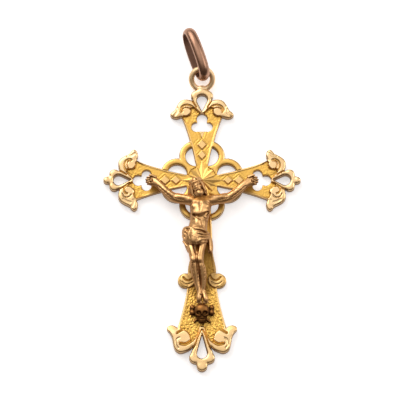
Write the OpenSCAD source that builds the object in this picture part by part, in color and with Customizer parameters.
// Gold crucifix pendant, lying on its back. Millimetres, +Z out of the front face, +Y toward the bail.
// The origin is the crossing of the arms on the flat back of the plate.

/* [Cross plate] */
// Reach of the side and top arms from the crossing to the tip of the end lobe
arm_reach = 14.8; // [13.8:0.1:16.5]
// Reach of the lower arm from the crossing to the tip of the end lobe
foot_reach = 29.6; // [28.6:0.1:33]
// Span across the leaf tips of a side or top arm
arm_span = 9.56; // [9.2:0.02:10.4]
// Span across the leaf tips of the lower arm
foot_span = 10.5; // [10:0.1:11.6]
// Thickness of the plate at the sunk ground
ground_t = 0.8; // [0.6:0.05:1.2]
// Height of the raised work over the ground
relief_t = 0.3; // [0.15:0.05:0.45]

/* [Ornament] */
// Radius of the pear-shaped opening in each side and top terminal
pear_r = 0.8; // [0.6:0.05:0.9]
// Radius of the pear-shaped opening in the lower terminal
foot_pear_r = 0.78; // [0.6:0.02:0.9]
// Radius of the lobes past the opening of each side and top terminal
lobe_r = 0.74; // [0.6:0.02:0.8]
// Radius of the lobes past the opening of the lower terminal
foot_lobe_r = 0.84; // [0.7:0.02:0.95]
// Radius of the outer lobe of the trefoil openings
trefoil_r = 0.8; // [0.6:0.05:0.9]
// Radius of the side lobes of the trefoil openings
trefoil_side_r = 0.72; // [0.55:0.01:0.78]
// Outer radius of the halo lobes
halo_r = 2.42; // [2.25:0.01:2.6]
// Width of the band of the halo lobes
halo_band = 0.95; // [0.75:0.05:1.1]
// Radius of the scroll bosses on the side and top arms
boss_r = 0.72; // [0.55:0.01:0.78]
// Radius of the scroll bosses on the lower arm
foot_boss_r = 0.82; // [0.6:0.01:0.88]
// Width of the sunk channel round each boss
channel_w = 0.3; // [0.2:0.02:0.36]
// Radius of the round ears of the lower arm
ear_r = 1.12; // [0.95:0.01:1.3]
// Reach of the long rays of the star
star_reach = 3.15; // [2.8:0.05:3.4]
// Number of rays of the star
star_rays = 16; // [8:8:24]
// Width of the large lozenges
lozenge_w = 1.4; // [1.1:0.05:1.6]

/* [Eye ring] */
// Radius of the eye ring at the middle of its wire
eye_r = 1.58; // [1.5:0.02:1.8]
// Thickness of the eye ring's wire
eye_wire = 0.8; // [0.6:0.02:0.9]
// Lean of the eye ring out of the plate
eye_lean = 24; // [20:1:28]

/* [Bail] */
// Length of the bail over all
bail_l = 8.74; // [8:0.02:10]
// Height of the bail over its two bands
bail_h = 4.5; // [4.3:0.05:5]
// Width of the band
bail_w = 1.5; // [1.2:0.05:1.6]
// Thickness of the band at its middle
bail_t = 0.8; // [0.65:0.02:0.9]
// Turn of the bail in the plane of the cross
bail_turn = 19; // [16:1:22]
// Lean of the bail from upright
bail_lean = 12; // [9:0.5:15]

/* [Corpus] */
// Height of the figure from its raised thumbs to its toes
figure_h = 20; // [18:0.1:20.4]
// Place of the palms on the arms, as a share of the reach of the arms
palm_share = 0.525; // [0.5:0.005:0.55]
// Radius of the pegs that seat the figure on the ground of the plate
peg_r = 0.25; // [0.15:0.01:0.35]

/* [Skull and bones] */
// Length of the skull
skull_l = 2.85; // [2.2:0.05:3]
// Width of the skull
skull_w = 2.05; // [1.5:0.05:2.2]
// Height of the skull over the ground of the plate
skull_h = 1.5; // [1:0.05:1.9]
// Span of the crossed bones
bones_w = 3.6; // [3:0.1:4]

/* [Clearances] */
// Gap between a seated piece and what it rests on
seat_gap = 0.03; // [0.01:0.01:0.1]
// Gap between the toes and the skull
toe_gap = 0.15; // [0.05:0.05:0.4]
// Clear room round the skull and the bones in the raised work
skull_room = 0.14; // [0.05:0.01:0.2]

/* [Hidden] */
front_z = ground_t + relief_t;
seat_z = front_z + seat_gap;
arm_half = arm_span / 2;
foot_half = foot_span / 2;
toe_y = figure_h * 0.965;
eye_y = arm_reach + eye_r * 0.58;
eye_z = front_z / 2 + eye_r * sin(eye_lean);
bail_crown = bail_t * 0.62;
bail_crown_r = (bail_w * bail_w / 4 + bail_crown * bail_crown) / 2 / bail_crown;
cut = 1;
curve_steps = 3;
// Degrees by which the folds of a draped loft turn for each hundredth of the figure's height
FOLD_TWIST = 24;
figure_part = figure_h / 100;
skull_top = -toe_y - toe_gap;

// Half outlines, as runs between corners. Columns: way out and way aside, in hundredths of the
// reach of the arm and of half its span.
ARM_EDGE = [
    [[0, 17.8], [15.5, 18.8], [20.9, 22], [31.8, 29.3], [41.2, 37.7], [52.7, 48.1], [64.9, 61.7],
        [66.4, 65.7]],
    [[66.4, 65.7], [64.9, 79.7], [66.1, 94.1], [68.9, 100]],
    [[68.9, 100], [71.5, 94.4], [73.5, 86.2], [78, 78.9], [82.1, 70.7], [84.5, 60.3], [84.9, 47.3],
        [83.6, 29.9]],
    [[83.6, 0]]
];
FOOT_EDGE = [
    [[0, 18.1], [13.5, 24.8], [20.9, 27], [31.4, 29.5], [38.5, 31.4], [45.3, 39], [47.3, 40]],
    [[47.3, 40], [57.8, 43.4], [64.2, 49.9], [70.9, 59], [76.7, 68.2], [77.4, 70.1]],
    [[77.4, 70.1], [76.5, 77.1], [76, 85.7], [76.5, 95.8], [77.5, 100]],
    [[77.5, 100], [78.7, 98.7], [80.2, 91.4], [82.4, 85.7], [85.1, 82.9], [87.8, 79.4], [89.4, 74.3],
        [90.5, 62.9], [90.2, 51.4], [89, 35.8], [87.5, 27.2]],
    [[87.5, 0]]
];
// Half outlines of the sunk, stippled ground, in the same columns
ARM_FIELD = [
    [[15.5, 11], [20.9, 15], [31.8, 22], [41.2, 30], [52.7, 40], [61.5, 51]],
    [[61.5, 51], [64.5, 44], [65.5, 36], [68, 31], [71, 30.5], [75.6, 34]],
    [[75.6, 34], [75.6, 25.5], [72.4, 12], [68, 0]]
];
FOOT_FIELD = [
    [[35.5, 24], [42.2, 29], [47.3, 31], [57.8, 36.5], [64.2, 42.5], [70.9, 51], [76.4, 60]],
    [[76.4, 60], [79.4, 62.5], [79.5, 50], [80.3, 39.5], [82, 34], [84.8, 33.5]],
    [[84.8, 33.5], [84.2, 24], [81.5, 15], [79, 10], [77.4, 8]],
    [[77.4, 0]]
];
// Openings and lobes of an arm's end, in the same columns
ARM_PEAR_AT = 84.5;
ARM_PEAR_TIP = 72.3;
ARM_LOBE = [88.9, 19.2];
FOOT_PEAR_AT = 90.9;
FOOT_PEAR_TIP = 80.7;
FOOT_LOBE = [93.1, 20.5];
ARM_BOSS = [72.3, 50.2];
FOOT_BOSS = [83.1, 50.1];
EAR_AT = [52.7, 47.6];
TREFOIL_OUT = 64.7;
TREFOIL_SIDE = [56.3, 18.2];
TREFOIL_END = 51.6;
// Lozenges of an arm. Columns: middle, half length, share of the full width
LOZENGES = [[38.5, 5.7, 1], [27.4, 4.7, 0.78]];
HALF_LOZENGE_TIP = 45.2;
// Middles of the halo lobes in one quarter, as shares of the star's reach
HALO_AT = [[0.32, 1.19], [1.19, 0.32]];

// Sections of the figure, in hundredths of its height. Columns: aside, up the cross, out of its
// seat, half width, half depth.
TORSO = [
    [-1.2, -13, 8, 2.4, 2.6], [-0.9, -15, 7.2, 5.6, 4.6], [-1, -17.5, 7, 8, 6.4], [-1.2, -21, 7.2, 7.9, 7.8],
    [-1.5, -25, 7.4, 7.2, 8.4], [-2, -29.5, 7, 6.6, 7.8], [-2.9, -34.5, 6.4, 6.3, 6.8],
    [-3.5, -39, 6.2, 7.2, 7],
    [-4, -45, 6.2, 8, 7.2], [-4, -51, 6, 7.4, 6.6]
];
HEAD = [
    [-4.5, -0.9, 9.2, 1.2, 1.4], [-4.3, -2.1, 10.2, 3.6, 3.8], [-3.9, -4.3, 11.1, 4.8, 5.2],
    [-3.4, -7, 11.5, 4.8, 5.2], [-2.9, -9.6, 11.6, 4.3, 5], [-2.5, -12, 11.8, 3.5, 4.2],
    [-2.2, -13.9, 12, 2.5, 3], [-2, -15.2, 12.2, 1.3, 1.6]
];
BEARD = [
    [-2.7, -10.4, 13, 2.6, 3], [-2.5, -12.1, 13.4, 3.3, 3.2], [-2.1, -14.1, 13.4, 2.7, 2.8],
    [-1.9, -15.8, 13, 1.6, 1.8], [-1.8, -16.8, 12.5, 0.6, 0.7]
];
// Mass of hair behind the face and down to the shoulders
HAIR_BACK = [
    [-4.5, -1.2, 7, 2.6, 3], [-4.2, -3.7, 7.8, 5.8, 6], [-3.5, -8, 7.6, 6.8, 6.4], [-2.8, -12.8, 7, 6.5, 5.4],
    [-2, -17, 7, 5.4, 4.6], [-1.7, -18.8, 7.4, 3, 3]
];
// Lean of the head to one side, and its locks. Columns: aside, up the cross, out, drop of each next
// lock, radius
HEAD_LEAN = 0.15;
HAIR = [
    [1, -1.8, 13, 0.6, 1.6], [4.2, -4.5, 11.6, 1.6, 1.7], [4.6, -9, 10.4, 2, 1.7], [5, -14, 9.2, 1.8, 1.5],
    [5.4, -18, 10.6, 1.8, 0.9]];
// First column: share of the way from the middle of the chest to the palm
ARM = [
    [0.1, -17.2, 6, 2.8, 3.2], [0.18, -17.2, 6.4, 3.8, 4.2], [0.24, -16.8, 6.6, 3.6, 3.9],
    [0.36, -15.8, 6, 3.2, 3.2],
    [0.52, -14.2, 5.2, 2.8, 2.8], [0.62, -12.4, 4.8, 2.6, 2.5], [0.74, -9.2, 4.6, 2.5, 2.3],
    [0.88, -4.2, 3.8, 1.7, 1.6], [0.95, -1.5, 3.2, 2.1, 1.3], [1, 0, 2.8, 2.5, 1.3],
    [1.04, 0.4, 2.7, 1.6, 0.9]
];
LEGS = [
    [[-7.2, -46, 6.2, 4.4, 5], [-7.6, -53.4, 8, 4.2, 4.6], [-7.2, -58.7, 9.6, 3.6, 4],
        [-6.7, -63.4, 10.4, 3.3, 3.5],
        [-6, -69.2, 8.8, 3.1, 3.3], [-5.1, -75.2, 7.2, 3.1, 3.2], [-4, -80.4, 6, 2.6, 2.8],
        [-2.7, -86, 5.1, 2.1, 2.2],
        [-1.7, -88.9, 5.1, 1.5, 1.6]],
    [[-1, -46, 6.2, 4.4, 5], [-1.4, -53.4, 8, 4.2, 4.6], [-1.8, -58.7, 9.6, 3.6, 4],
        [-1.8, -63.4, 10.2, 3.3, 3.5],
        [-0.6, -69.2, 8.2, 3.1, 3.3], [0.6, -75.2, 6.4, 3.1, 3.2], [0.9, -80.4, 5, 2.6, 2.8],
        [0.6, -85.9, 3.7, 2, 2.2],
        [0.5, -89, 3.1, 1.5, 1.6]]
];
FEET = [
    [[-2.7, -84.7, 4.9, 1.2, 1.3], [-1.8, -90, 5.6, 2.1, 1.8], [-2.2, -93.2, 4.4, 2.2, 1.4],
        [-2.4, -95.2, 3.4, 1.7, 0.8]],
    [[0.7, -84.6, 3.7, 1.2, 1.3], [1.8, -90, 3, 2.1, 1.6], [2.8, -93.2, 2.6, 2.2, 1.3],
        [3.4, -95.2, 2, 1.7, 0.8]]
];
CLOTH = [
    [-4.1, -39.7, 6.6, 7.7, 8.1], [-4.4, -43.2, 7, 8.8, 8.6], [-4.6, -47.5, 7.2, 9.2, 8.8],
    [-4.5, -51.5, 7.4, 8.8, 8.2],
    [-4.5, -53, 7.4, 8, 7.4]
];
BUNCH = [
    [-10.9, -38.2, 7.3, 1.7, 2.1], [-11.4, -41.3, 7.8, 3.2, 3.4], [-11.6, -45.5, 7.6, 3.2, 3.4],
    [-11.2, -50, 7, 2.8, 3], [-10.6, -53.5, 6.8, 1.6, 2]
];
TAIL = [
    [2, -43.4, 6.6, 2, 2.6], [4.8, -47, 6.8, 2.6, 2.8], [6, -52, 5.8, 2, 2], [6.2, -56, 5.2, 1.7, 1.6],
    [6, -57.9, 4.9, 0.8, 0.8]
];
// Runs of round folds over the figure. Columns: aside, up the cross, out, radius
FOLDS = [
    [[-13, -41, 7, 1.8], [-9, -41.2, 12.4, 1.5], [-3.5, -41.6, 15, 1.3], [1.4, -42.6, 13.2, 1.3],
        [3.6, -43.8, 9, 1.5]],
    [[-10, -44, 12, 1.6], [-5, -46.6, 15.8, 1.2], [-0.6, -48.4, 15, 1.2], [2.6, -48.6, 12.2, 1.2],
        [4.8, -47.6, 8.6, 1.6]],
    [[-9.6, -46, 12.8, 1.4], [-6.8, -50, 15, 1.2], [-4.2, -52.5, 14.1, 1]],
    [[-12.4, -39.6, 8, 1.6], [-14, -45, 8.6, 1.6], [-12.6, -51, 8, 1.2]],
    [[-10.2, -40.1, 10.3, 1.4], [-11.8, -45, 11.4, 1.4], [-10.8, -51.6, 9.6, 1.1]]
];
// Chest, ribs and belly of one side, mirrored about the middle of the torso
RIBS = [
    [[2.6, -20.6, 13, 2.4], [5, -20, 10.6, 2.4]],
    [[1.2, -25.6, 15.2, 0.9], [3.4, -26.6, 13.9, 1], [5.6, -25.8, 10.8, 0.9]],
    [[1.8, -28.4, 14, 0.9], [3.6, -29.4, 12.6, 0.9], [5, -28.8, 9.8, 0.9]],
    [[2.6, -31.4, 12.2, 0.9], [4.2, -32, 10.4, 0.9]]
];
// Sections of the skull. Columns: down its length, out of its seat, half width, half height, as
// shares of its length, height, half width and height.
SKULL = [
    [-0.01, 0.4, 0.3, 0.14], [-0.06, 0.4, 0.66, 0.36], [-0.2, 0.42, 0.96, 0.52], [-0.36, 0.44, 1, 0.55],
    [-0.5, 0.44, 0.9, 0.52], [-0.64, 0.42, 0.72, 0.46], [-0.8, 0.36, 0.56, 0.38], [-0.93, 0.3, 0.48, 0.3],
    [-0.99, 0.26, 0.3, 0.16]
];

function blend4(p, t) = 0.5 * (2 * p[1] + (p[2] - p[0]) * t + (2 * p[0] - 5 * p[1] + 4 * p[2] - p[3]) * t * t
    + (3 * p[1] - p[0] - 3 * p[2] + p[3]) * t * t * t);
// A smooth curve through the points of a run
function smooth(run, steps) = let (m = len(run) - 1) [
    for (i = [0 : m], s = [0 : i < m ? steps - 1 : 0])
        i == m ? run[m] : blend4([run[max(i - 1, 0)], run[i], run[i + 1], run[min(i + 2, m)]], s / steps)
];
function runs(table) = [for (run = table) each smooth(run, curve_steps)];
function placed(at, reach, half) = [at[0] * reach / 100, at[1] * half / 100];
function mirrored(half) = concat(half, [for (i = [len(half) - 1 : -1 : 0]) [half[i][0], -half[i][1]]]);
function outline(table, reach, half) = mirrored([for (p = runs(table)) placed(p, reach, half)]);
// A band along an arc, tapering from one width to another
function arc_band(r, a0, a1, w0, w1) = let (n = 14) concat(
    [for (i = [0 : n]) let (a = a0 + (a1 - a0) * i / n, w = w0 + (w1 - w0) * i / n)
        (r + w / 2) * [cos(a), sin(a)]],
    [for (i = [n : -1 : 0]) let (a = a0 + (a1 - a0) * i / n, w = w0 + (w1 - w0) * i / n)
        (r - w / 2) * [cos(a), sin(a)]]
);

// Repeats a flat shape drawn along +X for each of the three like arms
module three_arms() {
    for (turn = [0, 90, 180]) rotate(turn) children();
}

module both_sides() {
    for (side = [0, 1]) mirror([0, side]) children();
}

// A round opening drawn out to a point toward -X
module pear(r, l) {
    circle(r, $fn = 48);
    polygon([[-l, 0], [-r * r / l, -r * sqrt(1 - r * r / l / l)], [-r * r / l, r * sqrt(1 - r * r / l / l)]]);
}

module trefoil() {
    translate([TREFOIL_OUT * arm_reach / 100, 0]) circle(trefoil_r, $fn = 48);
    both_sides() translate(placed(TREFOIL_SIDE, arm_reach, arm_half)) circle(trefoil_side_r, $fn = 48);
    translate([TREFOIL_END * arm_reach / 100, -trefoil_side_r])
        square([(TREFOIL_OUT - TREFOIL_END) * arm_reach / 100, 2 * trefoil_side_r]);
}

module end_lobes(lobe, pear_at, reach, half, r) {
    translate([pear_at * reach / 100, 0]) circle(r * 1.9, $fn = 48);
    both_sides() translate(placed(lobe, reach, half)) circle(r, $fn = 40);
    translate([reach - r * 0.9, 0]) circle(r * 0.9, $fn = 40);
}

module arm_outline() {
    polygon(outline(ARM_EDGE, arm_reach, arm_half));
    end_lobes(ARM_LOBE, ARM_PEAR_AT, arm_reach, arm_half, lobe_r);
}

module foot_outline() {
    polygon(outline(FOOT_EDGE, foot_reach, foot_half));
    end_lobes(FOOT_LOBE, FOOT_PEAR_AT, foot_reach, foot_half, foot_lobe_r);
    both_sides() translate(placed(EAR_AT, foot_reach, foot_half)) circle(ear_r, $fn = 48);
}

module arm_openings() {
    trefoil();
    translate([ARM_PEAR_AT * arm_reach / 100, 0])
        pear(pear_r, (ARM_PEAR_AT - ARM_PEAR_TIP) * arm_reach / 100);
}

module foot_openings() {
    translate([FOOT_PEAR_AT * foot_reach / 100, 0])
        pear(foot_pear_r, (FOOT_PEAR_AT - FOOT_PEAR_TIP) * foot_reach / 100);
}

module halo_lobes(r) {
    for (sx = [-1, 1], sy = [-1, 1], at = HALO_AT)
        translate([sx * at[0] * star_reach, sy * at[1] * star_reach]) circle(r, $fn = 64);
}

module plate_outline() {
    difference() {
        union() {
            difference() {
                halo_lobes(halo_r);
                halo_lobes(halo_r - halo_band);
            }
            circle(star_reach * 0.72, $fn = 64);
            three_arms() arm_outline();
            rotate(-90) foot_outline();
        }
        three_arms() arm_openings();
        rotate(-90) foot_openings();
    }
}

module star() {
    for (i = [0 : star_rays - 1]) {
        turn = 360 * i / star_rays;
        long = i % (star_rays / 4) == 0;
        reach = long ? star_reach : star_reach * (i % 2 == 0 ? 0.68 : 0.58);
        rotate(turn) polygon([[0, -star_reach * 0.11], [reach, 0], [0, star_reach * 0.11]]);
    }
}

module lozenges(reach) {
    for (row = LOZENGES) {
        at = row[0] * reach / 100;
        long = row[1] * reach / 100;
        wide = row[2] * lozenge_w / 2;
        polygon([[at - long, 0], [at, -wide], [at + long, 0], [at, wide]]);
    }
    polygon([[TREFOIL_END * reach / 100, -lozenge_w * 0.24], [TREFOIL_END * reach / 100, lozenge_w * 0.24],
        [HALF_LOZENGE_TIP * reach / 100, 0]]);
}

// The sunk channel that parts a boss from its band, and the groove that parts the leaf
module scroll_cuts(at, r) {
    both_sides() translate(at) {
        polygon(arc_band(r + channel_w / 2, -72, 100, channel_w, channel_w * 0.6));
        polygon(arc_band(r + channel_w * 1.6, 62, 112, channel_w * 0.3, channel_w * 0.5));
    }
}

// Ground that lies below the raised work
module sunk_ground() {
    difference() {
        union() {
            three_arms() polygon(outline(ARM_FIELD, arm_reach, arm_half));
            rotate(-90) polygon(outline(FOOT_FIELD, foot_reach, foot_half));
            circle(star_reach * 0.64, $fn = 64);
        }
        star();
        three_arms() lozenges(arm_reach);
    }
    translate([0, skull_top]) skull_seat();
    three_arms() scroll_cuts(placed(ARM_BOSS, arm_reach, arm_half), boss_r);
    rotate(-90) {
        scroll_cuts(placed(FOOT_BOSS, foot_reach, foot_half), foot_boss_r);
        both_sides() translate(placed(EAR_AT, foot_reach, foot_half))
            polygon(arc_band(ear_r * 0.55, -160, 150, channel_w * 0.55, channel_w));
    }
}

// Room for the skull and the bones on the ground, seen from above
module skull_seat() {
    half = bones_w / 2 + skull_w * 0.05 + skull_room;
    translate([-half, -skull_l - skull_room]) square([2 * half, skull_l + 2 * skull_room]);
}

module eye_ring() {
    translate([0, eye_y, eye_z])
        rotate([eye_lean, 0, 0])
            rotate_extrude($fn = 64) translate([eye_r, 0]) circle(eye_wire / 2, $fn = 32);
}

module cross() {
    color("#D9A441") {
        difference() {
            linear_extrude(front_z) plate_outline();
            translate([0, 0, ground_t]) linear_extrude(relief_t + cut) sunk_ground();
        }
        eye_ring();
    }
}

// Half-round section of the bail's band, flat on the inside
module band_section() {
    intersection() {
        translate([0, -bail_w / 2]) square([bail_t, bail_w]);
        translate([bail_t - bail_crown_r, 0]) circle(bail_crown_r, $fn = 96);
    }
}

module bail_link() {
    bend_r = bail_h / 2 - bail_t;
    run = bail_l - bail_h;
    for (end = [0, 1]) rotate(180 * end) {
        translate([run / 2, 0, 0])
            rotate([0, 0, -90]) rotate_extrude(angle = 180, $fn = 64) translate([bend_r, 0]) band_section();
        translate([-run / 2, bend_r, 0]) rotate([90, 0, 90]) linear_extrude(run) band_section();
    }
}

// The near bend of the bail hangs on the far side of the eye ring, and its lower band lies on the
// same surface as the plate
module bail() {
    hang = [-0.15 * eye_r, eye_y + eye_r * cos(eye_lean) + 0.14 * eye_r];
    along = [-sin(bail_turn), cos(bail_turn)];
    middle = hang + along * (bail_l - bail_h) / 2;
    low = (bail_h / 2 - bail_crown_r) * cos(bail_lean) + bail_crown_r;
    color("#B08060")
        translate([middle[0], middle[1], low + seat_gap])
            rotate([0, 0, 90 + bail_turn]) rotate([bail_lean, 0, 0]) rotate([90, 0, 0]) bail_link();
}

// Points of one elliptical ring of a loft, square to the way it runs, with folds round its edge
function ring(row, way, n, folds, depth) = let (
    u = cross(way, [0, 0, 1]) / norm(cross(way, [0, 0, 1])),
    v = cross(u, way)
) [
    for (i = [0 : n - 1]) let (a = 360 * i / n, f = 1 + depth * cos(folds * a + row[1] * FOLD_TWIST))
        [row[0], row[1], row[2]] + u * row[3] * f * cos(a) + v * row[4] * f * sin(a)
];

// A closed solid lofted through rows of place, half width and half depth
module loft(table, n = 14, folds = 0, depth = 0, steps = 2) {
    rows = smooth(table, steps);
    m = len(rows);
    points = [
        for (k = [0 : m - 1]) let (
            a = rows[max(k - 1, 0)], b = rows[min(k + 1, m - 1)],
            way = [b[0] - a[0], b[1] - a[1], b[2] - a[2]]
        ) each ring(rows[k], way / norm(way), n, folds, depth)
    ];
    polyhedron(points, concat(
        [[for (i = [n - 1 : -1 : 0]) i]],
        [for (k = [0 : m - 2], i = [0 : n - 1]) let (j = (i + 1) % n)
            [k * n + i, k * n + j, (k + 1) * n + j, (k + 1) * n + i]],
        [[for (i = [0 : n - 1]) (m - 1) * n + i]]
    ), convexity = 6);
}

// A lock, finger or fold end: round ends joined along a run of points. Columns: place, radius
module strand(table, n = 8) {
    for (i = [0 : len(table) - 2]) hull() for (row = [table[i], table[i + 1]])
        translate([row[0], row[1], row[2]]) sphere(row[3], $fn = n);
}

module head() {
    loft(HEAD, 16);
    loft(HAIR_BACK, 16);
    // nose and brow
    strand([[-3.3, -6.5, 16.4, 0.8], [-2.9, -9.2, 17.4, 1]]);
    for (side = [-1, 1])
        strand([[-3.4 + side * 0.8, -6.1, 16, 0.8], [-3.3 + side * 3.4, -6.4 - side * 0.4, 14.9, 0.7]]);
    loft(BEARD, 14, 7, 0.08);
    // plaited band round the brow
    translate([-3.8, -4.7, 11]) rotate([78, 0, 15])
        rotate_extrude($fn = 24) translate([5.2, 0]) circle(0.8, $fn = 8);
    // hair to the shoulders
    for (side = [-1, 1], k = [0 : 2])
        strand([for (row = HAIR) [
            HEAD[0][0] - row[1] * HEAD_LEAN + side * (row[0] + k * 0.9), row[1] - k * 0.5,
            row[2] - k * row[3], row[4]
        ]]);
}

module arm(side) {
    reach = side * palm_share * arm_reach / figure_part;
    chest = TORSO[2][0];
    loft([for (row = ARM) [chest + (reach - chest) * row[0], row[1], row[2], row[3], row[4]]], 12);
    // fingers and thumb, half closed over the palm
    for (k = [0 : 3]) strand([
        [reach + side * 1.4, 1.6 - k * 1.1, 2.8, 0.75], [reach + side * 3.3, 2.45 - k * 1.52, 3.25, 0.62],
        [reach + side * 3.6, 2 - k * 1.4, 4.6, 0.5]
    ], 6);
    strand([[reach - side * 0.6, 1.2, 3, 0.7], [reach + side * 0.6, 3.4, 3.6, 0.55]], 6);
    // head of the nail in the palm
    translate([reach, -0.2, 3]) cylinder(r1 = 0.9, r2 = 0.6, h = 1.6, $fn = 8);
}

module cloth() {
    loft(CLOTH, 28, 7, 0.05);
    loft(BUNCH, 14, 5, 0.08);
    loft(TAIL, 12, 4, 0.1);
    for (fold = FOLDS) strand(fold, 6);
}

module figure() {
    loft(TORSO, 20);
    for (side = [-1, 1], rib = RIBS)
        strand([for (row = rib) [TORSO[4][0] + side * row[0], row[1], row[2], row[3]]], 6);
    head();
    for (side = [-1, 1]) arm(side);
    cloth();
    for (leg = LEGS) loft(leg, 12);
    for (foot = FEET) {
        loft(foot, 10);
        end = foot[len(foot) - 1];
        for (k = [-1, 0, 1]) translate([end[0] + k * 0.9, end[1] - 0.2, end[2]]) sphere(0.62, $fn = 6);
    }
    translate([FEET[0][1][0] + 0.9, FEET[0][1][1], 3.6]) cylinder(r1 = 0.9, r2 = 0.6, h = 3, $fn = 8);
}

// Pegs behind the wrists and the feet, down to the ground of the plate
module seat_pegs() {
    wrist = 0.93 * palm_share * arm_reach;
    for (at = [[-wrist, -0.024 * figure_h], [wrist, -0.024 * figure_h], [0, -0.925 * figure_h]])
        translate([at[0], at[1], ground_t + seat_gap])
            cylinder(r = peg_r, h = relief_t + figure_h * 0.02, $fn = 12);
}

module corpus() {
    color("#B5853F") {
        intersection() {
            translate([0, 0, seat_z]) scale(figure_part) figure();
            translate([-arm_reach, -toe_y, seat_z]) cube([2 * arm_reach, toe_y * 1.1, figure_h * 0.4]);
        }
        seat_pegs();
    }
}

// A crossed bone, from a knob at its upper end to one at its lower end
module bone(side) {
    top = [side * (bones_w / 2 - skull_w * 0.2), -skull_l * 0.26, skull_h * 0.34];
    low = [-side * bones_w * 0.3, -skull_l * 0.84, skull_h * 0.26];
    hull() for (p = [top, low]) translate(p) sphere(skull_w * 0.15, $fn = 10);
    for (k = [-1, 1]) translate(top + [side * 0.06, 0.13 * k, 0] * skull_w) sphere(skull_w * 0.19, $fn = 12);
}

module skull_and_bones() {
    color("#6B4A26") translate([0, skull_top, ground_t + seat_gap]) intersection() {
        union() {
            for (side = [-1, 1]) bone(side);
            difference() {
                union() {
                    loft([for (row = SKULL)
                        [0, row[0] * skull_l, row[1] * skull_h, row[2] * skull_w / 2, row[3] * skull_h]], 16);
                    // cheek bones
                    for (side = [-1, 1]) hull() {
                        translate([side * skull_w * 0.36, -skull_l * 0.6, skull_h * 0.5])
                            sphere(skull_w * 0.1, $fn = 8);
                        translate([side * skull_w * 0.2, -skull_l * 0.66, skull_h * 0.72])
                            sphere(skull_w * 0.1, $fn = 8);
                    }
                }
                // eye sockets and nose
                for (side = [-1, 1]) translate([side * skull_w * 0.21, -skull_l * 0.49, skull_h * 0.93])
                    sphere(skull_w * 0.16, $fn = 12);
                hull() for (k = [0, 1]) translate([0, -skull_l * (0.6 + 0.07 * k), skull_h * 0.93])
                    sphere(skull_w * (0.05 + 0.03 * k), $fn = 8);
            }
            // teeth
            for (k = [-2 : 2]) hull() for (row = [0, 1])
                translate([k * 0.09 * skull_w, -skull_l * (0.79 + 0.07 * row), skull_h * (0.66 - k * k / 80)])
                    sphere(skull_w * 0.05, $fn = 6);
        }
        translate([-bones_w, -skull_l, 0]) cube([2 * bones_w, skull_l, skull_h]);
    }
}

cross();
corpus();
skull_and_bones();
bail();
